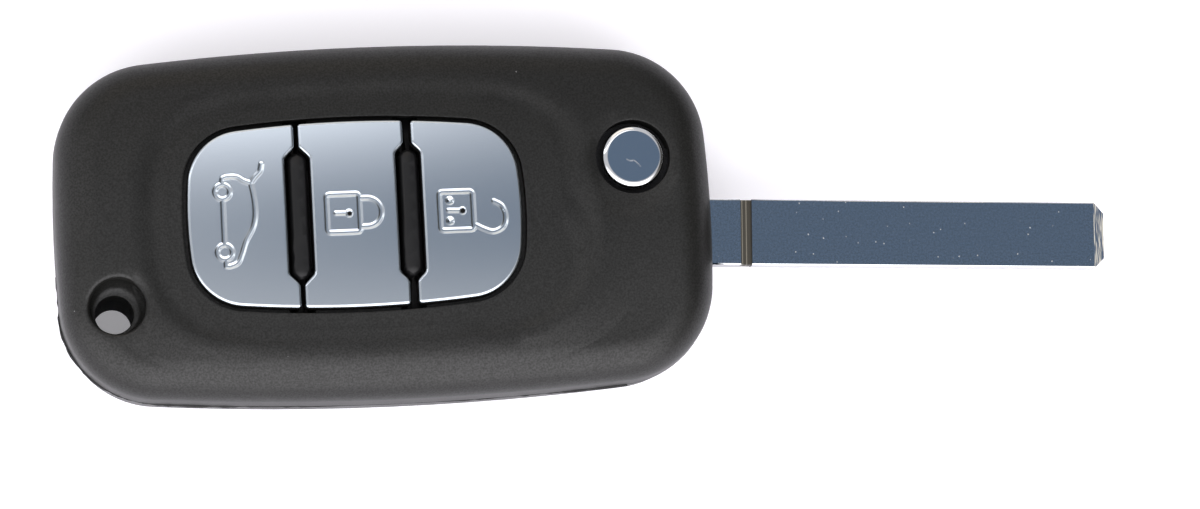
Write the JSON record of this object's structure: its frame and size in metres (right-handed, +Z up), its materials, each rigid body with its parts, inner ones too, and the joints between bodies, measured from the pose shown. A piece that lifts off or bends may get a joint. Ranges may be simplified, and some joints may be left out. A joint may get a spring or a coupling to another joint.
{
  "type": "key fob shell",
  "caption": "Moulded folding key case with silver push keys, a sprung hub that swings out a flat uncut blade, and a round bright release button.",
  "frame": {"origin": "middle of the case outline on the flat underside, at the rest_face mount", "axes": "+X points from the case to the tip of the open blade, +Y to the side that the blade folds into, +Z up through the keys"},
  "size_m": [0.1113, 0.0374, 0.0149],
  "materials": {
    "black_case": "fine matt moulded",
    "silver_keys": "satin silver paint",
    "black_rubber": "matt silicone rubber",
    "inner_plastic": "plain moulded",
    "cast_hub": "cast and plated, dull",
    "blade_steel": "ground and plated, bright",
    "spring_steel": "drawn wire, plain",
    "bright_cap": "polished plating",
    "contact_strip": "plated strip"
  },
  "bodies": {
    "case": {"upper_case": "black_case", "lower_case": "black_case", "keypad_mat": "black_rubber", "keypad_plate": "inner_plastic", "spring_seat": "inner_plastic", "contact_negative": "contact_strip", "contact_positive": "contact_strip", "case_screw": "spring_steel"},
    "hub": {"flip_hub": "cast_hub", "key_blade": "blade_steel", "blade_roll_pin": "spring_steel", "flip_spring": "spring_steel"},
    "release": {"release_plunger": "inner_plastic", "release_button": "bright_cap"},
    "trunk_key": {"button_trunk": "silver_keys"},
    "lock_key": {"button_lock": "silver_keys"},
    "unlock_key": {"button_unlock": "silver_keys"}
  },
  "joints": [
    {"name": "blade_flip", "type": "hinge", "parent": "case", "child": "hub", "pos_m": [0.02585, 0.0054, 0.0075], "axis": [0, 0, 1], "range_deg": [0, 182.7], "stiffness_Nm_per_rad": 0.0127, "springref_deg": -89.95, "deforming": ["flip_spring"]},
    {"name": "release_press", "type": "slide", "parent": "hub", "child": "release", "axis": [0, 0, -1], "range_m": [0, 0.002], "stiffness_N_per_m": 400, "springref_m": -0.002, "deforming": ["flip_spring"]},
    {"name": "trunk_press", "type": "slide", "parent": "case", "child": "trunk_key", "axis": [0, 0, -1], "range_m": [0, 0.0006], "stiffness_N_per_m": 300, "springref_m": -0.001, "deforming": ["keypad_mat"]},
    {"name": "lock_press", "type": "slide", "parent": "case", "child": "lock_key", "axis": [0, 0, -1], "range_m": [0, 0.0006], "stiffness_N_per_m": 300, "springref_m": -0.001, "deforming": ["keypad_mat"]},
    {"name": "unlock_press", "type": "slide", "parent": "case", "child": "unlock_key", "axis": [0, 0, -1], "range_m": [0, 0.0006], "stiffness_N_per_m": 300, "springref_m": -0.001, "deforming": ["keypad_mat"]}
  ]
}
